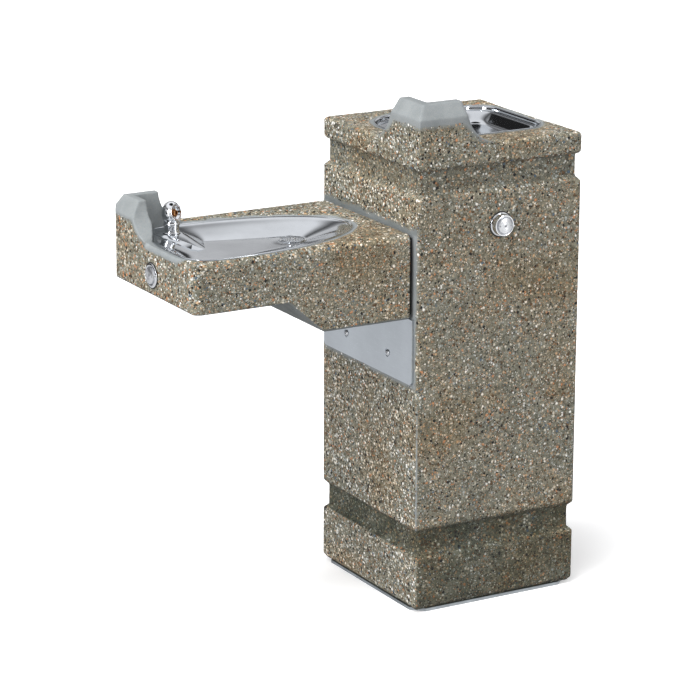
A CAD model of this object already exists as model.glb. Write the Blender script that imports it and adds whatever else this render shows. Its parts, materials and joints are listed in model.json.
# Looks for a precast concrete drinking fountain: a high basin on a square pedestal
# and a low basin on an arm. Metres in the CAD frame, Z up; outlines are in millimetres.
import json
import math
from contextlib import contextmanager

import bmesh
import bpy
import numpy as np
from mathutils import Matrix, Vector, noise


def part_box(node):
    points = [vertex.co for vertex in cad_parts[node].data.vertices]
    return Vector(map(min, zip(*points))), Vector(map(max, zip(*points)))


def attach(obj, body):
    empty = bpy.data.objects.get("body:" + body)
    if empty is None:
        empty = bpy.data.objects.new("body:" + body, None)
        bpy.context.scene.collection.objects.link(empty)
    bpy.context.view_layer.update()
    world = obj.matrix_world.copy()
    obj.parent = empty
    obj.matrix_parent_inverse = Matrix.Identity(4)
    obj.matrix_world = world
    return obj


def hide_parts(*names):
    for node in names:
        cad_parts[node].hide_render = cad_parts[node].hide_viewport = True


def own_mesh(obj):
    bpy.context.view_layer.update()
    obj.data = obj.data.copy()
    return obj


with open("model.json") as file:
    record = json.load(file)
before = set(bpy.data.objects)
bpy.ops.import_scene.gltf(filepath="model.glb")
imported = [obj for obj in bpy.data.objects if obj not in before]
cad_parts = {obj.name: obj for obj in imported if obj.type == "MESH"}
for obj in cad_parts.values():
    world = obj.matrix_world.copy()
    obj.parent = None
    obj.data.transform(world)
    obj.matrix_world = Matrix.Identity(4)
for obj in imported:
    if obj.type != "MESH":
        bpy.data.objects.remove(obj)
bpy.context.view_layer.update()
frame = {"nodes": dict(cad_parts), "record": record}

MM = 0.001

# Rims stand this far under their decks, in millimetres
LOW_RIM_DROP = 5
HIGH_RIM_DROP = 3


def node_box(node):
    """A CAD node's lowest and highest corner, in millimetres."""
    low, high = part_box(node)
    return np.array(low) / MM, np.array(high) / MM


def node_middle(node):
    low, high = node_box(node)
    return (low + high) / 2


# Driving sizes, all in millimetres and all taken from the frame
PEDESTAL_LOW, PEDESTAL_HIGH = node_box("pedestal")
ARM_LOW, ARM_HIGH = node_box("arm")
HALF = PEDESTAL_HIGH[0]
ARM_END = ARM_LOW[0]
ARM_HALF = ARM_HIGH[1]
ARM_ROOT = ARM_LOW[2]
PLATE_BOTTOM = node_box("access_plate")[0][2]
LOW_DECK = node_box("low_bowl")[1][2] + LOW_RIM_DROP
HIGH_DECK = node_box("high_bowl")[1][2] + HIGH_RIM_DROP

# Basins are drawn from these: the middle of the arm's free end and of the
# pedestal's front edge, both at deck height
LOW_ORIGIN = np.array([ARM_END, 0, LOW_DECK])
HIGH_ORIGIN = np.array([0, -HALF, HIGH_DECK])

# Thickness of the walls where the push-button valves pass through
ARM_WALL = node_box("low_valve_locknut")[0][0] - ARM_END
PEDESTAL_WALL = node_box("high_valve_locknut")[0][1] + HALF


# ---------------------------------------------------------------- small helpers

def srgb(r, g, b):
    """A colour given as 0 to 255 screen values, as linear RGBA."""
    def linear(v):
        v /= 255
        return v / 12.92 if v <= 0.04045 else ((v + 0.055) / 1.055) ** 2.4
    return (linear(r), linear(g), linear(b), 1.0)


def new_object(name, data):
    made = bpy.data.objects.new(name, data)
    bpy.context.scene.collection.objects.link(made)
    return made


def mesh_object(name, points, faces):
    """A smooth-shaded mesh object from points in millimetres."""
    mesh = bpy.data.meshes.new(name)
    mesh.from_pydata([tuple(float(c) * MM for c in p) for p in points], [], faces)
    mesh.update()
    mesh.shade_smooth()
    return new_object(name, mesh)


def bake_modifiers(piece):
    """Puts what the modifiers make into the mesh and removes them."""
    graph = bpy.context.evaluated_depsgraph_get()
    piece.data = bpy.data.meshes.new_from_object(piece.evaluated_get(graph))
    piece.modifiers.clear()


@contextmanager
def editing(mesh):
    """The mesh as a bmesh, which is written back at the end."""
    bm = bmesh.new()
    bm.from_mesh(mesh)
    yield bm
    bm.to_mesh(mesh)
    bm.free()


def turn_outward(piece):
    with editing(piece.data) as bm:
        bmesh.ops.recalc_face_normals(bm, faces=bm.faces)


def band(first, second, count):
    """Faces between two closed rings of points, given by the number of each ring's first point."""
    return [(first + i, first + (i + 1) % count, second + (i + 1) % count, second + i)
            for i in range(count)]


def finish_piece(piece, slot, nodes=(), body="fountain", material=None):
    """Gives a piece its slot's material or its own, its place in the record and its body."""
    piece.data.materials.clear()
    piece.data.materials.append(MATERIALS[material or slot])
    if nodes:
        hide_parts(*nodes)
    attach(piece, body)
    return piece


def shade_by_angle(piece, degrees=35):
    """Smooth shading that breaks at edges sharper than the angle."""
    piece.data.shade_smooth()
    with editing(piece.data) as bm:
        for edge in bm.edges:
            if len(edge.link_faces) == 2 and edge.calc_face_angle() > math.radians(degrees):
                edge.smooth = False


def axis_frame(origin, direction, up):
    """Matrix of a frame at origin (mm) with Z along direction and Y as near to up as it can be."""
    z = Vector(direction).normalized()
    x = Vector(up).cross(z).normalized()
    y = z.cross(x)
    turn = Matrix((x, y, z)).transposed().to_4x4()
    return Matrix.Translation(Vector([c * MM for c in origin])) @ turn


# ---------------------------------------------------------------- outlines

def arc_points(cx, cy, r, start, end, steps):
    return [(cx + r * math.cos(math.radians(start + (end - start) * i / steps)),
             cy + r * math.sin(math.radians(start + (end - start) * i / steps)))
            for i in range(steps + 1)]


def low_rim(inset):
    """The low basin's rim from its far end, anticlockwise, drawn in by inset."""
    points = []
    for a in range(-90, 91, 3):
        side = 150 if a < 0 else 143
        points.append((118 + (320 - inset) * math.cos(math.radians(a)),
                       (side - inset) * math.sin(math.radians(a))))
    points += arc_points(86, 96, 42 - inset, 90, 180, 16)
    for i in range(1, 16):
        t = i / 16
        points.append((44 + inset - 15 * (1 - math.cos(math.pi * t)), 96 - 91 * t))
    points += arc_points(74, -90, 60 - inset, 180, 270, 16)
    return points


# Corners of the high basin's rim and well: middle, radius, start angle, steps
HIGH_RIM = [(116, 147.5, 60, 270, 18), (126, 292.5, 50, 0, 18), (-36, 242.5, 100, 90, 24),
            (-93, 130.5, 43, 180, 14)]
HIGH_WELL = [(112, 148, 48, 270, 18), (120, 290, 40, 0, 18), (0, 270, 60, 90, 24),
             (-20, 140, 40, 180, 14)]


def corner_arcs(corners, grow):
    """An outline of rounded corners, drawn outwards by grow."""
    points = []
    for x, y, r, start, steps in corners:
        points += arc_points(x, y, r + grow, start, start + 90, steps)
    return points


def around_circles(circles, grow=0, steps=360):
    """Outline of the tight band around some circles (x, y, r)."""
    points = []
    for i in range(steps):
        a = 2 * math.pi * i / steps
        nx, ny = math.cos(a), math.sin(a)
        x, y, r = max(circles, key=lambda c: c[0] * nx + c[1] * ny + c[2])
        points.append((x + (r + grow) * nx, y + (r + grow) * ny))
    return points


def spread(points, count, start):
    """The closed outline as count points a like distance apart, from the one in direction start."""
    ring = np.array(points, float)
    gaps = np.linalg.norm(np.roll(ring, -1, 0) - ring, axis=1)
    ring = ring[gaps > 1e-6]
    closed = np.vstack([ring, ring[:1]])
    length = np.concatenate([[0], np.cumsum(np.linalg.norm(np.diff(closed, axis=0), axis=1))])
    first = length[int(np.argmax(ring @ np.array(start)))]
    stations = (first + np.arange(count) * length[-1] / count) % length[-1]
    return np.column_stack([np.interp(stations, length, closed[:, k]) for k in (0, 1)])


def beyond(ring, points):
    """Distance in the plane from each point to a closed ring, negative inside it."""
    a = np.asarray(ring, float)
    b = np.roll(a, -1, 0)
    best = np.full(len(points), 1e9)
    inside = np.zeros(len(points), bool)
    for (ax, ay), (bx, by) in zip(a, b):
        dx, dy = bx - ax, by - ay
        square = dx * dx + dy * dy
        if square < 1e-9:
            continue
        t = np.clip(((points[:, 0] - ax) * dx + (points[:, 1] - ay) * dy) / square, 0, 1)
        gap = np.hypot(points[:, 0] - ax - t * dx, points[:, 1] - ay - t * dy)
        best = np.minimum(best, gap)
        crosses = (ay > points[:, 1]) != (by > points[:, 1])
        if abs(dy) > 1e-9:
            at_x = ax + (points[:, 1] - ay) * dx / dy
            inside ^= crosses & (points[:, 0] < at_x)
    return np.where(inside, -best, best)


# ---------------------------------------------------------------- material nodes

class Nodes:
    """A node tree, with short calls for the nodes that the materials and the world share."""

    def __init__(self, tree):
        self.tree = tree

    def add(self, kind, **settings):
        node = self.tree.nodes.new(kind)
        for key, value in settings.items():
            setattr(node, key, value)
        return node

    def feed(self, socket, value):
        if isinstance(value, bpy.types.NodeSocket):
            self.tree.links.new(value, socket)
        else:
            socket.default_value = value

    def math(self, operation, a, b=0.0, clamp=False):
        node = self.add("ShaderNodeMath", operation=operation, use_clamp=clamp)
        self.feed(node.inputs[0], a)
        self.feed(node.inputs[1], b)
        return node.outputs[0]

    def span(self, value, low, high, to_low=0.0, to_high=1.0):
        node = self.add("ShaderNodeMapRange")
        self.feed(node.inputs["Value"], value)
        for socket, number in zip(("From Min", "From Max", "To Min", "To Max"),
                                  (low, high, to_low, to_high)):
            self.feed(node.inputs[socket], number)
        return node.outputs["Result"]

    def times(self, a, b):
        return self.math("MULTIPLY", a, b)

    def ramp(self, value, stops, steps=False):
        node = self.add("ShaderNodeValToRGB")
        self.feed(node.inputs["Fac"], value)
        ramp = node.color_ramp
        ramp.interpolation = "CONSTANT" if steps else "LINEAR"
        while len(ramp.elements) < len(stops):
            ramp.elements.new(0.5)
        for element, (at, colour) in zip(ramp.elements, stops):
            element.position = at
            element.color = colour
        return node.outputs["Color"]

    def mix(self, share, a, b, blend="MIX"):
        node = self.add("ShaderNodeMix", data_type="RGBA", blend_type=blend)
        self.feed(node.inputs[0], share)
        self.feed(node.inputs[6], a)
        self.feed(node.inputs[7], b)
        return node.outputs[2]


class Shade(Nodes):
    """A material's nodes."""

    def __init__(self, name):
        self.material = bpy.data.materials.new(name)
        self.material.use_nodes = True
        super().__init__(self.material.node_tree)
        self.shader = self.tree.nodes["Principled BSDF"]
        self.place = self.add("ShaderNodeTexCoord").outputs["Object"]

    def attribute(self, name):
        return self.add("ShaderNodeAttribute", attribute_name=name).outputs["Fac"]

    def noise(self, scale, detail=3.0, rough=0.55, place=None):
        node = self.add("ShaderNodeTexNoise")
        self.feed(node.inputs["Vector"], place or self.place)
        node.inputs["Scale"].default_value = scale
        node.inputs["Detail"].default_value = detail
        node.inputs["Roughness"].default_value = rough
        return node.outputs["Fac"]

    def cells(self, scale, place=None):
        """Random cells: the distance to each cell's middle, and its three random values."""
        node = self.add("ShaderNodeTexVoronoi")
        self.feed(node.inputs["Vector"], place or self.place)
        node.inputs["Scale"].default_value = scale
        split = self.add("ShaderNodeSeparateColor")
        self.feed(split.inputs[0], node.outputs["Color"])
        return node.outputs["Distance"], split.outputs

    def warped(self, scale, amount):
        """The place, pushed about by noise, so that cells turn ragged."""
        node = self.add("ShaderNodeTexNoise")
        self.feed(node.inputs["Vector"], self.place)
        node.inputs["Scale"].default_value = scale
        node.inputs["Detail"].default_value = 1.0
        push = self.add("ShaderNodeVectorMath", operation="MULTIPLY_ADD")
        self.feed(push.inputs[0], node.outputs["Color"])
        push.inputs[1].default_value = (amount,) * 3
        self.feed(push.inputs[2], self.place)
        return push.outputs[0]

    def scaled(self, x, y, z):
        """The place, stretched along the axes, for brushed and drawn grain."""
        node = self.add("ShaderNodeVectorMath", operation="MULTIPLY")
        self.feed(node.inputs[0], self.place)
        node.inputs[1].default_value = (x, y, z)
        return node.outputs[0]

    def bump(self, height, strength, distance, below=None):
        node = self.add("ShaderNodeBump")
        self.feed(node.inputs["Height"], height)
        node.inputs["Strength"].default_value = strength
        node.inputs["Distance"].default_value = distance
        if below is not None:
            self.feed(node.inputs["Normal"], below)
        return node.outputs["Normal"]

    def finish(self, colour, rough, normal=None, metal=0.0, **sockets):
        self.feed(self.shader.inputs["Base Color"], colour)
        self.feed(self.shader.inputs["Roughness"], rough)
        self.shader.inputs["Metallic"].default_value = metal
        for name, value in sockets.items():
            self.shader.inputs[name.replace("_", " ")].default_value = value
        if normal is not None:
            self.feed(self.shader.inputs["Normal"], normal)
        return self.material


def darker(tone, share):
    return tuple(c * share for c in tone[:3]) + (1,)


# Exposed stones, as shares of all stones from 0 to 1
STONE_COLOURS = [
    (0.00, srgb(184, 174, 152)),
    (0.15, srgb(206, 176, 142)),
    (0.25, srgb(150, 146, 130)),
    (0.38, srgb(204, 148, 108)),
    (0.44, srgb(98, 76, 54)),
    (0.54, srgb(182, 186, 182)),
    (0.65, srgb(228, 220, 204)),
    (0.74, srgb(255, 253, 248)),
    (0.81, srgb(22, 22, 22)),
    (0.92, srgb(126, 98, 70)),
    (0.97, srgb(92, 110, 128)),
]

# Stones from fine to coarse: cells a metre, reach in a cell, share shown, height
STONE_SIZES = [(430, 0.50, 0.50, 0.35), (230, 0.48, 0.58, 0.7), (150, 0.45, 0.66, 1.0)]


def cement_colour(s, cast, sand):
    """Dark sandy cement between stones, and blue-grey plain cement where the cast is smooth."""
    cement = s.ramp(s.noise(120, 5), [(0.32, srgb(58, 59, 50)), (0.68, srgb(138, 138, 124))])
    plain = s.ramp(s.noise(22, 6), [(0.3, srgb(112, 119, 123)), (0.72, srgb(134, 140, 143))])
    plain = s.mix(s.span(sand, 0.35, 0.7, 0.0, 0.30), plain, srgb(158, 163, 165))
    cement = s.mix(s.span(cast, 0.10, 0.75), cement, plain)
    return s.mix(s.span(sand, 0.45, 0.7, 0.0, 0.35), cement, srgb(176, 166, 146))


def add_stones(s, colour, height, place, washed, kind):
    """Sets one size of stones into the cement: its colour and height with them in."""
    scale, reach, share, top = kind
    far, pick = s.cells(scale, place)
    size = s.span(pick[2], 0, 1, reach - 0.14, reach + 0.08)
    shown = s.math("LESS_THAN", pick[1], s.times(washed, share))
    stone = s.times(s.math("LESS_THAN", far, size), shown)
    tone = s.ramp(pick[0], STONE_COLOURS, steps=True)
    tone = s.mix(s.span(far, 0.16, reach, 0.0, 0.45), tone, srgb(112, 106, 92), "MULTIPLY")
    dome = s.times(stone, s.span(far, 0, 0.5, top, 0.3 * top))
    return s.mix(stone, colour, tone), s.math("MAXIMUM", height, dome)


def age_concrete(s, colour, cast, grime):
    """Broad tan and grey tints on the bare stones, and grime where it gathers."""
    broad = s.noise(5, 3)
    bare = s.span(cast, 0.2, 0.7, 1.0, 0.0)
    tan = s.times(bare, s.span(broad, 0.46, 0.62, 0.0, 0.55))
    grey = s.times(bare, s.span(broad, 0.52, 0.36, 0.0, 0.55))
    colour = s.mix(tan, colour, srgb(226, 204, 170), "MULTIPLY")
    colour = s.mix(grey, colour, srgb(214, 216, 214), "MULTIPLY")
    dirt = s.times(grime, s.span(s.noise(30, 4), 0.3, 0.7, 0.6, 1.0))
    return s.mix(dirt, colour, srgb(112, 122, 108), "MULTIPLY")


def exposed_aggregate():
    """Washed concrete: packed mixed stones in dark cement, plain cement where the cast is smooth."""
    s = Shade("exposed_aggregate")
    cast = s.attribute("cast")
    grime = s.attribute("grime")
    place = s.warped(260, 0.0030)
    washed = s.math("ADD", s.times(s.noise(11, 4), 0.5), 0.72)
    washed = s.math("SUBTRACT", washed, s.times(cast, 1.35))
    sand = s.noise(900, 3, 0.7)
    colour = cement_colour(s, cast, sand)
    height = s.times(sand, 0.16)
    for kind in STONE_SIZES:
        colour, height = add_stones(s, colour, height, place, washed, kind)
    colour = age_concrete(s, colour, cast, grime)
    normal = s.bump(height, 1.0, 0.0016)
    normal = s.bump(s.noise(160, 4), 0.25, 0.0008, normal)
    return s.finish(colour, s.span(height, 0.0, 1.0, 0.92, 0.60), normal)


def polished_steel(name, tone, rough_low, rough_high, spots=0.5):
    """Polished sheet: faint clouding, water marks and hairline scratches."""
    s = Shade(name)
    cloud = s.noise(14, 4)
    marks, _ = s.cells(55, s.warped(40, 0.02))
    ring = s.times(s.span(marks, 0.30, 0.36), s.span(marks, 0.42, 0.36))
    scratch = s.noise(40, 6, 0.75, s.scaled(1, 9, 1))
    colour = s.mix(s.span(cloud, 0.3, 0.7), tone, darker(tone, 0.90))
    rough = s.span(cloud, 0.25, 0.75, rough_low, rough_high)
    rough = s.math("ADD", rough, s.times(ring, 0.04 * spots))
    rough = s.math("ADD", rough, s.span(scratch, 0.62, 0.8, 0.0, 0.03))
    normal = s.bump(scratch, 0.02, 0.00003)
    return s.finish(colour, rough, normal, metal=1.0)


def brushed_steel(name, tone, grain):
    """Satin sheet with a grain along one axis; grain is the stretch along X, Y and Z."""
    s = Shade(name)
    hair = s.noise(1, 6, 0.7, s.scaled(*grain))
    cloud = s.noise(9, 4)
    colour = s.mix(s.span(cloud, 0.3, 0.7), tone, darker(tone, 0.88))
    colour = s.mix(s.span(hair, 0.35, 0.65, 0.0, 0.12), colour, darker(tone, 0.72))
    rough = s.span(hair, 0.3, 0.7, 0.26, 0.38)
    return s.finish(colour, rough, s.bump(hair, 0.10, 0.00003), metal=1.0)


def cast_metal(name, tone, stain, rough_low, rough_high, pits=0.15):
    """Plain metal of a fitting: stained in patches, flecked and lightly pitted."""
    s = Shade(name)
    cloud = s.noise(22, 5)
    speck, pick = s.cells(420)
    fleck = s.times(s.math("LESS_THAN", speck, 0.2), s.math("LESS_THAN", pick[0], 0.3))
    colour = s.mix(s.span(cloud, 0.35, 0.72), tone, stain)
    colour = s.mix(s.times(fleck, 0.5), colour, darker(stain, 0.4))
    rough = s.span(s.noise(70, 4), 0.3, 0.7, rough_low, rough_high)
    normal = s.bump(s.noise(350, 4), pits, 0.0004)
    return s.finish(colour, rough, normal, metal=1.0)


def moulded(name, tone, worn, rough_low, rough_high):
    """Moulded rubber or plastic: fine grain, scuffs and dust."""
    s = Shade(name)
    dust = s.noise(18, 6, 0.65)
    scuff = s.noise(55, 5, 0.7, s.scaled(1, 3, 6))
    colour = s.mix(s.span(dust, 0.45, 0.8, 0.0, 0.5), tone, worn)
    colour = s.mix(s.span(scuff, 0.62, 0.72, 0.0, 0.4), colour, worn)
    rough = s.span(dust, 0.3, 0.8, rough_low, rough_high)
    return s.finish(colour, rough, s.bump(s.noise(900, 3), 0.18, 0.0003))


def make_materials():
    """The materials by their slots in the record, and the push buttons' own."""
    concrete = exposed_aggregate()
    return {
        "concrete_pedestal": concrete,
        "concrete_arm": concrete,
        "bowl_stainless": polished_steel("polished_steel_bowl", srgb(214, 218, 222), 0.07, 0.12),
        "chrome": polished_steel("chrome_plate", srgb(236, 238, 241), 0.03, 0.07, 0.3),
        "button": brushed_steel("turned_steel", srgb(228, 230, 233), (260, 900, 900)),
        "satin_stainless": brushed_steel("satin_steel_plate", srgb(205, 212, 218), (60, 40, 1400)),
        "screw_steel": cast_metal("screw_steel", srgb(222, 224, 228), srgb(176, 178, 180), 0.18, 0.32),
        "galvanised_steel": cast_metal("galvanised_steel", srgb(176, 182, 186), srgb(138, 144, 148),
                                       0.35, 0.55),
        "bronze": cast_metal("nozzle_bronze", srgb(190, 138, 92), srgb(112, 74, 44), 0.25, 0.42),
        "brass": cast_metal("fitting_brass", srgb(214, 182, 112), srgb(150, 120, 66), 0.22, 0.4),
        "copper": cast_metal("tube_copper", srgb(206, 136, 100), srgb(132, 84, 60), 0.2, 0.42),
        "waste_pipe": cast_metal("waste_pipe_nickel", srgb(206, 208, 206), srgb(160, 164, 160), 0.16, 0.34),
        "black_rubber": moulded("black_rubber", srgb(26, 27, 27), srgb(64, 62, 58), 0.55, 0.85),
        "blue_handle": moulded("blue_vinyl", srgb(24, 62, 140), srgb(60, 92, 150), 0.35, 0.6),
    }


# ---------------------------------------------------------------- concrete castings

def even_grid(name, node, depth, share, is_inner):
    """A copy of a CAD casting on an even grid, with its inner walls kept coarse."""
    piece = new_object(name, frame["nodes"][node].data.copy())
    with editing(piece.data) as bm:
        bmesh.ops.remove_doubles(bm, verts=bm.verts, dist=0.01 * MM)
    grid = piece.modifiers.new("grid", "REMESH")
    grid.mode = "SHARP"
    grid.octree_depth = depth
    grid.scale = share
    grid.use_remove_disconnected = False
    bake_modifiers(piece)

    with editing(piece.data) as bm:
        inner = [v for v in bm.verts if is_inner(v.co / MM)]
        marked = set(inner)
        edges = [e for e in bm.edges if e.verts[0] in marked and e.verts[1] in marked]
        bmesh.ops.dissolve_limit(bm, angle_limit=math.radians(2), verts=inner, edges=edges)
        bmesh.ops.remove_doubles(bm, verts=bm.verts, dist=0.05 * MM)
    return piece


def pitting(p, cast, relief):
    """How far the surface sinks at a point, in millimetres: between stones, in pits and in waves."""
    amount = relief * (1 - 0.85 * min(cast, 1))
    stones = noise.voronoi(p / (7 * MM))[0][0]
    waves = noise.noise(p * 22) * 0.5 + 0.5
    pit = max(0.0, noise.noise(p * 95) - 0.32) * 4
    return amount * (0.55 * min(stones, 1) + 0.5 * pit) + 0.35 * relief * waves


def weather(piece, cast, grime, fixed, relief):
    """Eases the edges, sinks the surface between the stones, and stores cast and grime for the material."""
    with editing(piece.data) as bm:
        free = [v for v in bm.verts if not fixed[v.index]]
        for _ in range(2):
            bmesh.ops.smooth_vert(bm, verts=free, factor=0.35, use_axis_x=True, use_axis_y=True,
                                  use_axis_z=True)
        bm.normal_update()
        for v in free:
            v.co = v.co - v.normal * MM * pitting(v.co, cast[v.index], relief)
    for name, values in (("cast", cast), ("grime", grime)):
        layer = piece.data.attributes.new(name, "FLOAT", "POINT")
        layer.data.foreach_set("value", np.asarray(values, np.float32))
    piece.data.shade_smooth()


def per_point(piece, what):
    """A point property of the mesh, such as co or normal, as rows of three."""
    values = np.zeros(len(piece.data.vertices) * 3, np.float32)
    piece.data.vertices.foreach_get(what, values)
    return values.reshape(-1, 3)


def points_of(piece):
    return per_point(piece, "co").astype(float) / MM


def step(value, edge, soft):
    """0 below the edge and 1 above it, over the soft width."""
    t = np.clip((value - edge) / soft + 0.5, 0, 1)
    return t * t * (3 - 2 * t)


def dip_to_rim(piece, points, around, deck, drop):
    """Slopes the deck down to a basin's rim, so that the rim shows."""
    lip, slope = 2.2, 24
    shoulder = deck - (drop + lip) * (1 - np.clip((around - 1) / slope, 0, 1))
    lowered = (points[:, 2] > shoulder) & (points[:, 2] < deck + 1) & (around > -3)
    points[lowered, 2] = shoulder[lowered]
    piece.data.vertices.foreach_set("co", (points * MM).astype(np.float32).ravel())
    piece.data.update()


def wobble(points, scale, amount):
    """A ragged edge: one noise value for each point, in millimetres."""
    return np.array([noise.noise(Vector(p) * scale) for p in points]) * amount


def pedestal_cast(p, around, ragged):
    """Where the pedestal is smooth cement: cowl, rim strip, beside the arm, grooves and corners."""
    x, y, z = p.T
    from_side, from_front = x + HALF, y + HALF
    reach = np.where(from_front < 3, from_side, from_front)
    cowl_edge = np.interp(reach, [0, 100, 125, 150, 172, 190], [43, 42, 20, 6, 2, 90]) + HIGH_DECK
    outside = (from_front < 25) & (from_side < 200) | (from_side < 25) & (from_front < 200)
    outside &= (from_front < 3) | (from_side < 3)
    in_cowl = np.where(outside, step(z, cowl_edge + ragged, 26), step(z, HIGH_DECK + 2, 4))
    strip = (1 - step(around, 7 + ragged, 9)) * step(z, HIGH_DECK - 14, 6)
    beside = beside_arm(p, ragged)
    groove = in_groove(p) * 0.16
    corner = step(np.minimum(np.abs(x), np.abs(y)), HALF - 2.6, 1.4) * (z > 165)
    corner = corner * (1 - step(z, 430, 160)) * 0.8
    return np.maximum.reduce([in_cowl, strip, beside, groove, corner])


def beside_arm(p, ragged):
    """The cement band on the pedestal's face around the arm and the access plate."""
    x, y, z = p.T
    gap = np.maximum(np.abs(y) - ARM_HALF, np.maximum(PLATE_BOTTOM - z, z - LOW_DECK))
    return (x < -HALF + 4) * (1 - step(gap, 9 + ragged, 16)) * 0.8


def in_groove(p):
    x, y, z = p.T
    return (np.maximum(np.abs(x), np.abs(y)) < HALF - 3) & (z < HIGH_DECK - 20)


def pedestal_grime(p, ragged):
    """Dirt in the grooves, on the base block and on the ledge over the arm."""
    x, y, z = p.T
    grime = in_groove(p) * np.where(z < 300, 0.95, 0.35)
    grime = np.maximum(grime, (1 - step(z, 180, 12)) * 0.75 * (x > -HALF + 5))
    return np.maximum(grime, 0.55 * beside_arm(p, ragged) * (z > LOW_DECK - 4))


def pedestal_fixed(p, around):
    """The points that stay where they are: the inner walls, the underside and the basin's pocket."""
    x, y, z = p.T
    cavity = HALF - PEDESTAL_WALL
    fixed = (np.maximum(np.abs(x), np.abs(y)) < cavity + 8) & (z < HIGH_DECK - 50)
    fixed |= z < PEDESTAL_LOW[2] + 1
    return fixed | (around < 0.5) & (z < HIGH_DECK - 1) & (z > HIGH_DECK - 60)


def build_pedestal():
    cavity = HALF - PEDESTAL_WALL

    def is_inner(p):
        walls = max(abs(p.x), abs(p.y)) < cavity + 3 and p.z < HIGH_DECK - 52
        return walls or p.z < PEDESTAL_LOW[2] + 1

    piece = even_grid("pedestal_casting", "pedestal", 8, 0.9, is_inner)
    p = points_of(piece)
    ragged = wobble(p, 0.03, 5)
    rim = spread(np.array(corner_arcs(HIGH_RIM, 0)) + [0, -HALF], 220, (1, 0))
    around = beyond(rim, p[:, :2])
    cast = pedestal_cast(p, around, ragged)
    dip_to_rim(piece, p, around, HIGH_DECK, HIGH_RIM_DROP)
    weather(piece, cast, pedestal_grime(p, ragged), pedestal_fixed(p, around), 1.0)
    finish_piece(piece, "concrete_pedestal", ["pedestal"])


def arm_cast(p, around, ragged):
    """Where the arm's top and sides are smooth cement: the cowl, and a strip around the basin's rim."""
    x, y, z = p.T
    from_end, from_side = x - ARM_END, ARM_HALF - y
    on_end = from_end < 3
    reach = np.where(on_end, from_side, from_end)
    cowl_edge = np.interp(reach, [0, 5, 86, 120, 146, 165], [27, 27, 26, -1, -6, 90]) + LOW_DECK
    outside = (from_end < 175) & (from_side < 175) & (on_end | (from_side < 3))
    in_cowl = np.where(outside, step(z, cowl_edge + ragged, 24), step(z, LOW_DECK + 2, 4))
    width = 9 + 9 * np.exp(-np.maximum(from_end - 30, 0) / 60)
    strip = (1 - step(around, width + ragged, 9)) * step(z, LOW_DECK - 16, 6)
    return np.maximum(in_cowl, strip)


def arm_fixed(p, around):
    """The points that stay where they are: the inner walls and the basin's pocket."""
    x, y, z = p.T
    inner = (x > ARM_END + 12) & (np.abs(y) < ARM_HALF - 23)
    inner &= (z < LOW_DECK - 38) & (z > ARM_ROOT + 10)
    return inner | (around < 0.5) & (z < LOW_DECK - 1) & (z > LOW_DECK - 90)


def build_arm():
    def is_inner(p):
        box = p.x > ARM_END + 14 and abs(p.y) < ARM_HALF - 25
        return box and ARM_ROOT + 12 < p.z < LOW_DECK - 40

    piece = even_grid("arm_casting", "arm", 8, 0.62, is_inner)
    p = points_of(piece)
    rim = spread(np.array(low_rim(0)) + [ARM_END, 0], 300, (1, 0))
    around = beyond(rim, p[:, :2])
    cast = arm_cast(p, around, wobble(p, 0.03, 5))
    dip_to_rim(piece, p, around, LOW_DECK, LOW_RIM_DROP)
    under = step(-per_point(piece, "normal")[:, 2], 0.4, 0.3)
    weather(piece, np.maximum(cast, 0.7 * under), 0.3 * under, arm_fixed(p, around), 0.8)
    finish_piece(piece, "concrete_arm", ["arm"])


# ---------------------------------------------------------------- basins

def sheet_from_rings(name, rings, creases, thickness):
    """A pressed steel sheet through rings of (x, y, z) points, given from the rim inwards."""
    count = len(rings[0])
    points = np.vstack(rings)
    faces = []
    for r in range(len(rings) - 1):
        faces += band(r * count, (r + 1) * count, count)
    piece = mesh_object(name, points, faces)
    with editing(piece.data) as bm:
        bm.verts.ensure_lookup_table()
        layer = bm.edges.layers.float.new("crease_edge")
        for r, amount in creases.items():
            for i in range(count):
                edge = bm.edges.get((bm.verts[r * count + i], bm.verts[r * count + (i + 1) % count]))
                edge[layer] = amount
        bmesh.ops.recalc_face_normals(bm, faces=bm.faces)
        if sum(f.normal.z for f in bm.faces) < 0:
            bmesh.ops.reverse_faces(bm, faces=bm.faces)
    skin = piece.modifiers.new("skin", "SOLIDIFY")
    skin.thickness = thickness * MM
    skin.offset = -1
    round_off = piece.modifiers.new("round_off", "SUBSURF")
    round_off.levels = 2
    round_off.render_levels = 2
    bake_modifiers(piece)
    piece.data.shade_smooth()
    return piece


def ring_at(outline, z):
    """An outline with a height, which may be a number or one for each point."""
    return np.column_stack([outline, np.broadcast_to(z, len(outline))])


def between(a, b, t):
    return a * (1 - t) + b * t


# Drains and bubblers in the plane, from each basin's origin
LOW_FLOOR_CIRCLES = [(312, 0, 30), (150, 48, 15), (70, -84, 20)]
LOW_DRAIN = (312, 0)
LOW_BUBBLER = (86, 84)
HIGH_DRAIN = (40, 190.5)
HIGH_BUBBLER = (-88, 128.5)
LOW_SHELF = -5.5
HIGH_SHELF = -12
DRAIN_SEAT = 27
DRAIN_HOLE = 17.3
SHEET = 1.6
STATIONS = 120


def even_ring(outline):
    return spread(outline, STATIONS, (1, 0))


def even_circle(at, radius):
    return even_ring(around_circles([(*at, radius)]))


def drain_height(unit, deck):
    """Height of a basin's sheet at the drain, from the deck, so that the drain's flange lies flush."""
    return node_box(unit + "_drain_body")[1][2] - deck - 2


def low_floor(ring, drain_z):
    """Heights of the low basin's floor, which falls towards the drain."""
    return drain_z + 2.0 + 3.5 * step(-ring[:, 0], -190, 260)


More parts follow.
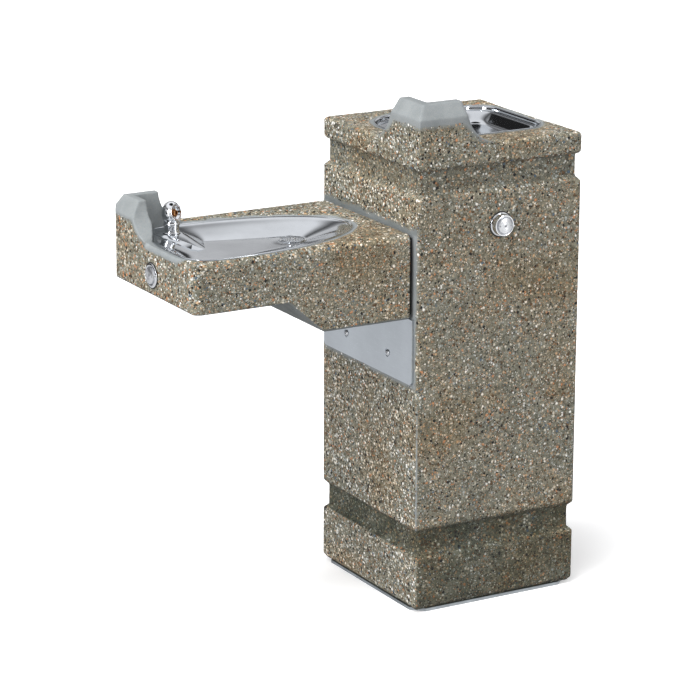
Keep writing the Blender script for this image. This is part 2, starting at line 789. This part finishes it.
def build_low_bowl():
    """Beaded rim, plain wall to a floor that falls to the drain, and the drain's seat."""
    drain_z = drain_height("low", LOW_DECK)
    lip = even_ring(low_rim(9))
    foot = even_ring(around_circles(LOW_FLOOR_CIRCLES))
    drain = even_circle(LOW_DRAIN, DRAIN_SEAT)
    hole = even_circle(LOW_DRAIN, DRAIN_HOLE)
    low = low_floor(foot, drain_z)
    bead = [(0, -7.4), (0.1, -5.8), (0.9, -5.0), (2.4, -5.2), (3.6, -6.6), (6.4, -6.8), (7.6, -6.0)]
    rings = [ring_at(even_ring(low_rim(inset)), z) for inset, z in bead]
    rings.append(ring_at(lip, -6.3))
    wall_foot = between(foot, lip, 0.04)
    rings.append(ring_at(between(lip, foot, 0.03), -7.6))
    for t in (0.25, 0.5, 0.75):
        rings.append(ring_at(between(lip, foot, t), between(-6.2, low + 0.8, t)))
    rings.append(ring_at(wall_foot, low + 1.2))
    rings.append(ring_at(foot, low))
    for t in (0.12, 0.5):
        inner = between(foot, drain, t)
        rings.append(ring_at(inner, low_floor(inner, drain_z)))
    rings.append(ring_at(drain, drain_z + 1.8))
    rings.append(ring_at(between(drain, hole, 0.08), drain_z - 0.1))
    rings.append(ring_at(hole, drain_z - 0.1))
    creases = {0: 0.9, 1: 0.5, 7: 0.3, len(rings) - 6: 0.85, len(rings) - 3: 0.5}
    local = [r + LOW_ORIGIN for r in rings]
    piece = sheet_from_rings("low_basin", local, creases, SHEET)
    finish_piece(piece, "bowl_stainless", ["low_bowl"])
    build_low_mound(drain_z)


def build_low_mound(drain_z):
    """The raised, faceted seat under the low bubbler."""
    x, y = LOW_BUBBLER
    top = [(px, py, -5.9) for px, py in arc_points(x, y, 21, 0, 345, 23)]
    base = [
        (94, 12, -14.5), (121, 2, drain_z + 3.6), (84, -2, drain_z + 3.4), (58, 26, drain_z + 3.8),
        (52, 84, -12), (60, 112, -9), (86, 118, -9), (128, 92, -18), (140, 84, drain_z + 4.2),
        (50, 60, drain_z + 4), (150, 70, drain_z + 3.9),
    ]
    mesh = bpy.data.meshes.new("low_bubbler_seat")
    with editing(mesh) as bm:
        for p in top + base:
            bm.verts.new((np.array(p) + LOW_ORIGIN) * MM)
        bmesh.ops.convex_hull(bm, input=bm.verts)
        bmesh.ops.dissolve_limit(bm, angle_limit=math.radians(3), verts=bm.verts, edges=bm.edges)
    piece = new_object("low_bubbler_seat", mesh)
    soften(piece, 0.9, 3)
    finish_piece(piece, "bowl_stainless")


def soften(piece, width, segments, angle=12):
    """Rounds the edges that are sharper than the angle."""
    bevel = piece.modifiers.new("bevel", "BEVEL")
    bevel.width = width * MM
    bevel.segments = segments
    bevel.limit_method = "ANGLE"
    bevel.angle_limit = math.radians(angle)
    bevel.use_clamp_overlap = True
    bake_modifiers(piece)
    shade_by_angle(piece, 40)


def build_high_bowl():
    """Rolled rim, flat shelf, and a deep well with the drain's seat at its foot."""
    drain_z = drain_height("high", HIGH_DECK)
    well = even_ring(corner_arcs(HIGH_WELL, 0))
    foot = even_ring(corner_arcs(HIGH_WELL, -14))
    drain = even_circle(HIGH_DRAIN, DRAIN_SEAT)
    hole = even_circle(HIGH_DRAIN, DRAIN_HOLE)
    shelf = even_ring(corner_arcs(HIGH_RIM, -7.5))
    roll = [(0, -4.8), (0.1, -3.6), (0.9, -3.1), (3, -3.4), (5, -4.0), (6.2, -6.0), (6.8, -10.8)]
    rings = [ring_at(even_ring(corner_arcs(HIGH_RIM, -inset)), z) for inset, z in roll]
    rings += [
        ring_at(shelf, HIGH_SHELF),
        ring_at(between(shelf, well, 0.5), -12.2), ring_at(between(shelf, well, 0.92), -12.4),
        ring_at(well, -12.8), ring_at(between(well, foot, 0.12), -15),
        ring_at(between(well, foot, 0.6), -28), ring_at(between(well, foot, 0.95), drain_z + 7),
        ring_at(between(foot, drain, 0.10), drain_z + 4.2), ring_at(between(foot, drain, 0.6), drain_z + 1.6),
        ring_at(drain, drain_z + 0.3), ring_at(between(drain, hole, 0.2), drain_z - 0.1),
        ring_at(hole, drain_z - 0.1),
    ]
    creases = {0: 0.9, 1: 0.7, 7: 0.6, 10: 0.6, 16: 0.5}
    local = [r + HIGH_ORIGIN for r in rings]
    piece = sheet_from_rings("high_basin", local, creases, SHEET)
    finish_piece(piece, "bowl_stainless", ["high_bowl"])


# ---------------------------------------------------------------- turned parts

def lathe(name, profile, matrix, segments=96, closed=False):
    """Turns (radius, height) points in millimetres about the matrix's Z axis."""
    rings, points, faces = [], [], []
    for r, h in profile:
        if r < 1e-6:
            rings.append([len(points)])
            points.append((0, 0, h))
        else:
            rings.append(list(range(len(points), len(points) + segments)))
            points += [(r * math.cos(2 * math.pi * i / segments), r * math.sin(2 * math.pi * i / segments), h)
                       for i in range(segments)]
    pairs = list(zip(rings, rings[1:])) + ([(rings[-1], rings[0])] if closed else [])
    for a, b in pairs:
        if len(a) == 1:
            faces += [(a[0], b[i], b[(i + 1) % segments]) for i in range(segments)]
        elif len(b) == 1:
            faces += [(a[i], a[(i + 1) % segments], b[0]) for i in range(segments)]
        else:
            faces += band(a[0], b[0], segments)
    piece = mesh_object(name, points, faces)
    piece.data.transform(matrix)
    turn_outward(piece)
    shade_by_angle(piece)
    return piece


def carve(piece, cutters):
    """Cuts the cutters out of the piece and deletes them."""
    for cutter in cutters:
        cut = piece.modifiers.new("cut", "BOOLEAN")
        cut.operation = "DIFFERENCE"
        cut.solver = "EXACT"
        cut.object = cutter
    bake_modifiers(piece)
    for cutter in cutters:
        bpy.data.objects.remove(cutter)
    shade_by_angle(piece)


def plug(radius, low, high, matrix, segments=48):
    return lathe("cutter", [(0, low), (radius, low), (radius, high), (0, high)], matrix, segments)


# A bubbler's egg-shaped head over its shelf
HEAD_RADIUS = 19.5
HEAD_TALL = 24
HEAD_MID = 40
OUTLET_TILT = 78


def build_bubbler(unit, origin, facing):
    """Chrome bubbler: ringed neck, and an egg-shaped head with a bronze insert in its outlet."""
    build_neck(unit, origin)
    tilt, turn = math.radians(OUTLET_TILT), math.radians(facing)
    aim = Vector((math.cos(turn) * math.sin(tilt), math.sin(turn) * math.sin(tilt), math.cos(tilt)))
    build_head(unit, origin, aim)
    build_insert(unit, origin, aim)


def build_neck(unit, origin):
    neck = [
        (0, -30), (7.6, -30), (8, -29.6), (8, -0.5), (8.6, 0), (17.6, 0), (18, 0.4), (18, 1.5), (17.5, 2.1),
        (16.6, 2.5), (16.1, 3.4), (15.7, 5), (15.5, 8), (15.5, 14), (15.8, 16.4), (16.9, 17.6),
        (17.1, 18.6), (17.1, 19.6), (16.7, 20.6), (15.9, 21.2), (15.6, 22), (15.6, 25), (12, 28), (0, 28),
    ]
    piece = lathe(unit + "_bubbler_neck", neck, Matrix.Translation(Vector(origin) * MM), 112)
    finish_piece(piece, "chrome", [unit + "_bubbler"])


def build_head(unit, origin, aim):
    """The egg around the aim: rings at (angle from the aim, distance out), with a lipped opening."""
    rings = [(a, 1) for a in range(174, 50, -5)]
    rings += [(50, 1), (47.5, 1.01), (46, 1.025), (44.5, 1.03), (43.2, 1.02), (42.2, 0.99), (41.6, 0.94)]
    rings += [(41, 0.84), (39, 0.72), (35, 0.60), (28, 0.50), (14, 0.44)]
    basis = axis_frame((0, 0, 0), aim, (0, 0, 1)).to_3x3()
    segments = 96
    points = [basis @ Vector((0, 0, -1))]
    for polar, out in rings:
        across, along = math.sin(math.radians(polar)), math.cos(math.radians(polar))
        for i in range(segments):
            b = 2 * math.pi * i / segments
            points.append(basis @ Vector((across * math.cos(b), across * math.sin(b), along)) * out)
    points.append(basis @ Vector((0, 0, 0.5)))
    faces = [(0, 1 + (i + 1) % segments, 1 + i) for i in range(segments)]
    for r in range(len(rings) - 1):
        start = 1 + r * segments
        faces += band(start, start + segments, segments)
    last = 1 + (len(rings) - 1) * segments
    faces += [(last + i, last + (i + 1) % segments, len(points) - 1) for i in range(segments)]
    middle = np.array(origin) + [0, 0, HEAD_MID]
    egg = np.array([HEAD_RADIUS, HEAD_RADIUS, HEAD_TALL])
    head = mesh_object(unit + "_bubbler_head", [np.array(p) * egg + middle for p in points], faces)
    turn_outward(head)
    finish_piece(head, "chrome")


def build_insert(unit, origin, aim):
    """The bronze cup and jet inside the outlet, a little taller than wide."""
    seat = Vector(origin) + Vector((0, 0, HEAD_MID))
    aimed = axis_frame(seat, aim, (0, 0, 1)) @ Matrix.Diagonal((1, 1.2, 1, 1))
    cup = [
        (0, 8.6), (9.0, 8.6), (11.0, 10.6), (12.2, 13.0), (12.0, 14.0), (11.6, 13.6), (10.6, 11.2),
        (8.6, 9.9), (5.4, 9.7), (4.6, 10.6), (4.4, 13.6), (3.9, 14.2), (3.2, 14.1), (2.8, 13.4),
        (2.6, 10.4), (0, 10.0),
    ]
    insert = lathe(unit + "_bubbler_insert", cup, aimed, 64)
    finish_piece(insert, "bronze", [unit + "_bubbler_nozzle"])


class Valve:
    """A push-button valve's places. Depths run along the pressing direction from the concrete's face."""

    def __init__(self, unit, face, axis, wall):
        self.unit = unit
        self.wall = wall
        self.origin = node_middle(unit + "_valve_locknut")
        self.origin[axis] = face
        self.direction = tuple(int(k == axis) for k in range(3))
        self.matrix = axis_frame(self.origin, self.direction, (0, 0, 1))
        self.proud = face - node_box(unit + "_valve_sleeve")[0][axis]
        self.spring = [corner[axis] - face for corner in node_box(unit + "_button_spring")]


def build_sleeve(valve):
    """The chrome sleeve through the wall, and the rubber seal under its flange."""
    back, front = valve.wall + 14, -valve.proud
    sleeve = [
        (21.5, back), (21.5, 0), (24.4, 0), (24.5, -0.4), (24.3, -1.5), (23.6, -2.2), (22.4, -2.5),
        (21.7, -2.8), (21.5, -3.2), (21.5, front + 0.7), (21.2, front + 0.15), (20.7, front),
        (19.5, front), (19.1, front + 0.2), (18.9, front + 0.7), (18.9, back),
    ]
    piece = lathe(valve.unit + "_button_sleeve", sleeve, valve.matrix, 128, closed=True)
    finish_piece(piece, "chrome", [valve.unit + "_valve_sleeve"])
    ring = [(24.0, -0.1), (26.2, -0.1), (26.4, -0.4), (26.2, -0.9), (25.4, -1.3), (24.6, -1.2), (24.0, -0.8)]
    seal = lathe(valve.unit + "_button_seal", ring, valve.matrix, 96, closed=True)
    finish_piece(seal, "black_rubber")


def build_button(valve):
    """A turned push button with grooved rings, a centre hole and two spanner holes."""
    front = -valve.proud - 3.4
    back = valve.wall - 12
    face = [(0, front + 3.4), (2.1, front + 3.4), (2.2, front + 0.35), (2.6, front + 0.05)]
    for i in range(1, 7):
        r = 2.6 + 2.0 * i
        level = front + 0.0026 * r * r
        face += [(r - 0.3, level), (r - 0.1, level + 0.12), (r + 0.1, level + 0.12), (r + 0.3, level)]
    face += [
        (15.7, front + 0.7), (16.2, front + 1.2), (16.5, front + 3.2), (17.2, front + 5.2),
        (18.4, front + 5.6), (18.6, front + 6.0), (18.6, back - 0.5), (18.1, back), (4, back),
        (4, back + 37), (3.6, back + 37.4), (0, back + 37.4),
    ]
    button = lathe(valve.unit + "_button", face, valve.matrix, 128)
    holes = [plug(1.5, front - 2, front + 2.8, valve.matrix @ Matrix.Translation((x * MM, 0, 0)), 20)
             for x in (-12.6, 12.6)]
    carve(button, holes)
    finish_piece(button, "chrome", [valve.unit + "_push_button"], valve.unit + "_button", "button")


def build_strainer(unit):
    """A domed, perforated stainless disc over the drain."""
    low, high = node_box(unit + "_strainer")
    x, y = (low[:2] + high[:2]) / 2
    matrix = Matrix.Translation(Vector((x, y, low[2])) * MM)
    hole = 1.5
    dome = [(2.2, 0.3), (23.2, 0.1), (23.9, 0.3), (24, 0.8), (23.4, 1.2)]
    dome += [(r, 1.25 + 0.4 * (1 - (r / 23) ** 2)) for r in (21, 18, 14, 10, 6)] + [(2.2, 1.65)]
    piece = lathe(unit + "_strainer_disc", dome, matrix, 96, closed=True)
    mesh = bpy.data.meshes.new("cutter")
    with editing(mesh) as bm:
        for count, ring_r in ((6, 6.5), (12, 11.5), (18, 16.5), (22, 20.8)):
            for x, y in arc_points(0, 0, ring_r, 0, 360, count)[:-1]:
                place = matrix @ Matrix.Translation((x * MM, y * MM, 0))
                bmesh.ops.create_cone(bm, cap_ends=True, segments=12, radius1=hole * MM,
                                      radius2=hole * MM, depth=8 * MM, matrix=place)
    carve(piece, [new_object("cutter", mesh)])
    finish_piece(piece, "bowl_stainless", [unit + "_strainer"])


# Return springs, and the buttons' stroke
COIL_RADIUS = 9.5
WIRE_RADIUS = 0.9
COIL_TURNS = 6.5


def coil(start, end, around=10, along=28):
    """Points and faces of a compression spring along Z, closed at both ends."""
    count = int(COIL_TURNS * along)
    points, faces = [], []
    for k in range(count + 1):
        t = k / count
        a = 2 * math.pi * COIL_TURNS * t
        travel = (0.5 - 0.5 * math.cos(math.pi * t)) ** 0.9
        rise = start + WIRE_RADIUS + (end - start - 2 * WIRE_RADIUS) * travel
        for i in range(around):
            b = 2 * math.pi * i / around
            r = COIL_RADIUS + WIRE_RADIUS * math.cos(b)
            points.append((r * math.cos(a), r * math.sin(a), rise + WIRE_RADIUS * math.sin(b)))
    for base in range(0, count * around, around):
        faces += band(base, base + around, around)
    faces.append(tuple(range(around)))
    faces.append(tuple(reversed(range(count * around, (count + 1) * around))))
    return points, faces


def build_spring(valve):
    """The return spring behind the button, which shortens as the button goes in."""
    start, end = valve.spring
    spring = mesh_object(valve.unit + "_return_spring", *coil(start, end))
    spring.data.transform(valve.matrix)
    turn_outward(spring)
    finish_piece(spring, "screw_steel", [valve.unit + "_button_spring"])
    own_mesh(spring)


# ---------------------------------------------------------------- plates and screws

def plate(name, outline, matrix, thickness, holes=()):
    """A flat plate from an outline in its own plane, with round holes (x, y, radius, depth from the face)."""
    count = len(outline)
    points = [(x, y, 0) for x, y in outline] + [(x, y, thickness) for x, y in outline]
    faces = [tuple(reversed(range(count))), tuple(range(count, 2 * count))] + band(0, count, count)
    piece = mesh_object(name, points, faces)
    piece.data.transform(matrix)
    cutters = [plug(r, thickness - depth, thickness + 1, matrix @ Matrix.Translation((x * MM, y * MM, 0)))
               for x, y, r, depth in holes]
    if cutters:
        carve(piece, cutters)
    return piece


SCREW_HEAD = 6.5


def build_access_plate():
    """The steel plate over the service opening, with its lower corners cut off, and its screws."""
    low, high = node_box("access_plate")
    side, cut = high[1], 6
    matrix = axis_frame((high[0], 0, 0), (-1, 0, 0), (0, 0, 1))
    outline = [(-side, low[2] + cut), (-side + cut, low[2]), (side - cut, low[2]), (side, low[2] + cut),
               (side, high[2]), (-side, high[2])]
    screw_y = round(node_box("plate_screws")[1][1] - SCREW_HEAD)
    screw_z = node_middle("plate_screws")[2]
    across = (-screw_y, screw_y)
    holes = [(y, screw_z, 9, 1) for y in across] + [(y, screw_z, 3.4, 20) for y in across]
    piece = plate("access_plate_cover", outline, matrix, high[0] - low[0], holes)
    soften(piece, 0.7, 2, 40)
    finish_piece(piece, "satin_stainless", ["access_plate"])
    for k, y in enumerate(across):
        build_screw(k, matrix @ Matrix.Translation((y * MM, screw_z * MM, 4 * MM)))


def build_screw(k, matrix):
    """A button-head screw with a hexagon socket."""
    head = [
        (0, -22), (2.4, -22), (3, -21.4), (3, 0), (SCREW_HEAD - 0.2, 0), (SCREW_HEAD, 0.3), (6.4, 1.0),
        (5.8, 2.0), (4.8, 2.9), (3.6, 3.4), (2.6, 3.55), (0, 3.6),
    ]
    piece = lathe(f"access_screw_{k + 1}", head, matrix, 64)
    carve(piece, [plug(2.1, 1.4, 5, matrix, 6)])
    finish_piece(piece, "screw_steel", ["plate_screws"] if k == 0 else ())


# ---------------------------------------------------------------- inner parts kept from the CAD

def dress_cad_nodes():
    """Every CAD node that still shows takes the material of its slot in the record."""
    for part in frame["record"]["subparts"]:
        piece = frame["nodes"][part["node"]]
        if not piece.hide_render:
            for holder in piece.material_slots:
                holder.link = "OBJECT"
                holder.material = MATERIALS[part["material_slot"]]


# ---------------------------------------------------------------- studio

def build_floor():
    """A pale floor, with a little light of its own so that it stays paler than its shadows."""
    span, steps = 30.0, 24
    across = [(i / steps - 0.5) * 2 * span / MM for i in range(steps + 1)]
    points = [(x, y, 0) for y in across for x in across]
    faces = []
    for j in range(steps):
        for a in range(j * (steps + 1), j * (steps + 1) + steps):
            faces.append((a, a + 1, a + steps + 2, a + steps + 1))
    floor = mesh_object("studio_floor", points, faces)
    s = Shade("pale_floor")
    tint = s.ramp(s.noise(3, 3), [(0.3, (0.90, 0.90, 0.90, 1)), (0.7, (0.93, 0.93, 0.93, 1))])
    floor.data.materials.append(s.finish(tint, 0.8, Emission_Color=(1, 1, 1, 1), Emission_Strength=0.3))
    floor.visible_diffuse = False
    floor.visible_glossy = False


# Brightness of the surroundings at each height over the horizon, in degrees: as mirrored
# in glossy surfaces, and as the soft light that falls on everything
MIRRORED = [(-90, 0.50), (-40, 0.80), (-12, 0.82), (-7, 0.04), (4, 0.02), (10, 0.05), (13, 0.62), (22, 0.74),
            (26, 0.30), (31, 0.08), (36, 0.40), (42, 0.95), (66, 1.05), (71, 0.12), (77, 0.03), (90, 0.02)]
SOFT = [(-90, 0.34), (-10, 0.34), (0, 0.26), (30, 0.36), (60, 0.55), (90, 0.65)]

# Light and dark panels that polished metal mirrors: direction, half width in degrees, brightness
PANELS = [((0.48, -0.83, -0.28), 22, 1.2), ((-0.92, -0.30, 0.20), 9, 2.0), ((0.70, -0.45, 0.50), 12, 1.2),
          ((-0.49, 0.83, 0.22), 14, 0.02)]


def height_ramp(s, height, levels):
    stops = [(0.5 + 0.5 * math.sin(math.radians(degrees)), (level, level, level * 1.02, 1))
             for degrees, level in levels]
    return s.ramp(height, stops)


def add_panel(s, toward, below, direction, half_width, level):
    """Adds a soft-edged round panel of light to the mirrored surroundings."""
    facing = s.add("ShaderNodeVectorMath", operation="DOT_PRODUCT")
    s.feed(facing.inputs[0], toward)
    facing.inputs[1].default_value = Vector(direction).normalized()
    outer, inner = (math.cos(math.radians(half_width * part)) for part in (1.15, 0.85))
    return s.mix(s.span(facing.outputs["Value"], outer, inner), below, (level, level, level, 1))


def build_world():
    """Soft studio surroundings, with the light panels and dark gaps that polished metal picks up."""
    world = bpy.data.worlds.new("studio")
    bpy.context.scene.world = world
    world.use_nodes = True
    s = Nodes(world.node_tree)
    toward = s.add("ShaderNodeTexCoord").outputs["Generated"]
    split = s.add("ShaderNodeSeparateXYZ")
    s.feed(split.inputs[0], toward)
    height = s.math("ADD", s.times(split.outputs[2], 0.5), 0.5)
    mirrored = height_ramp(s, height, MIRRORED)
    for direction, half_width, level in PANELS:
        mirrored = add_panel(s, toward, mirrored, direction, half_width, level)
    ray = s.add("ShaderNodeLightPath")
    lit = s.mix(ray.outputs["Is Glossy Ray"], height_ramp(s, height, SOFT), mirrored)
    lit = s.mix(ray.outputs["Is Camera Ray"], lit, (1, 1, 1, 1))
    s.feed(s.tree.nodes["Background"].inputs["Color"], lit)


def aim_lamp(name, light, direction):
    lamp = new_object(name, light)
    lamp.rotation_mode = "QUATERNION"
    lamp.rotation_quaternion = Vector(direction).to_track_quat("-Z", "Y")
    return lamp


def sun(name, direction, strength, angle):
    """A broad distant light that polished metal doesn't mirror."""
    light = bpy.data.lights.new(name, "SUN")
    light.energy = strength
    light.angle = math.radians(angle)
    aim_lamp(name, light, direction).visible_glossy = False


def softbox(name, place, target, size, power):
    light = bpy.data.lights.new(name, "AREA")
    light.shape = "RECTANGLE"
    light.size, light.size_y = size
    light.energy = power
    aim_lamp(name, light, Vector(target) - Vector(place)).location = place


def build_lights():
    sun("key_light", (0.36, 0.10, -0.93), 2.8, 30)
    sun("left_fill", (0.96, 0.10, -0.26), 1.85, 50)
    sun("front_fill", (0.10, 0.96, -0.26), 0.80, 50)
    softbox("left_strip", (-3.4, -1.6, 1.5), (-0.3, 0, 0.8), (0.5, 2.8), 45)
    softbox("right_strip", (1.6, -3.6, 1.6), (-0.2, 0, 0.8), (0.4, 2.6), 30)


# The camera's place in metres, its turn in degrees, and its lens in millimetres
CAMERA_PLACE = (-3.2426, -5.2387, 2.2552)
CAMERA_YAW = 29.865
CAMERA_PITCH = 16.063
CAMERA_ROLL = -0.235
CAMERA_LENS = 159.78


def build_camera():
    data = bpy.data.cameras.new("camera")
    data.lens = CAMERA_LENS
    data.sensor_width = 36
    data.clip_end = 200
    camera = new_object("camera", data)
    yaw, pitch, roll = (math.radians(a) for a in (CAMERA_YAW, CAMERA_PITCH, CAMERA_ROLL))
    forward = Vector((math.sin(yaw) * math.cos(pitch), math.cos(yaw) * math.cos(pitch), -math.sin(pitch)))
    camera.location = CAMERA_PLACE
    camera.rotation_mode = "QUATERNION"
    level = forward.to_track_quat("-Z", "Y")
    camera.rotation_quaternion = (Matrix.Rotation(roll, 3, forward) @ level.to_matrix()).to_quaternion()
    bpy.context.scene.camera = camera


# ---------------------------------------------------------------- the scene

MATERIALS = make_materials()
build_camera()
build_floor()
build_world()
build_lights()
build_pedestal()
build_arm()
build_low_bowl()
build_high_bowl()
build_bubbler("low", LOW_ORIGIN + np.array([*LOW_BUBBLER, LOW_SHELF]), -70)
build_bubbler("high", HIGH_ORIGIN + np.array([*HIGH_BUBBLER, HIGH_SHELF]), 29)
low_valve = Valve("low", ARM_END, 0, ARM_WALL)
high_valve = Valve("high", -HALF, 1, PEDESTAL_WALL)
for valve in (low_valve, high_valve):
    build_sleeve(valve)
    build_button(valve)
build_spring(low_valve)
build_spring(high_valve)
build_strainer("low")
build_strainer("high")
build_access_plate()
dress_cad_nodes()

bpy.context.scene.view_settings.view_transform = "Standard"
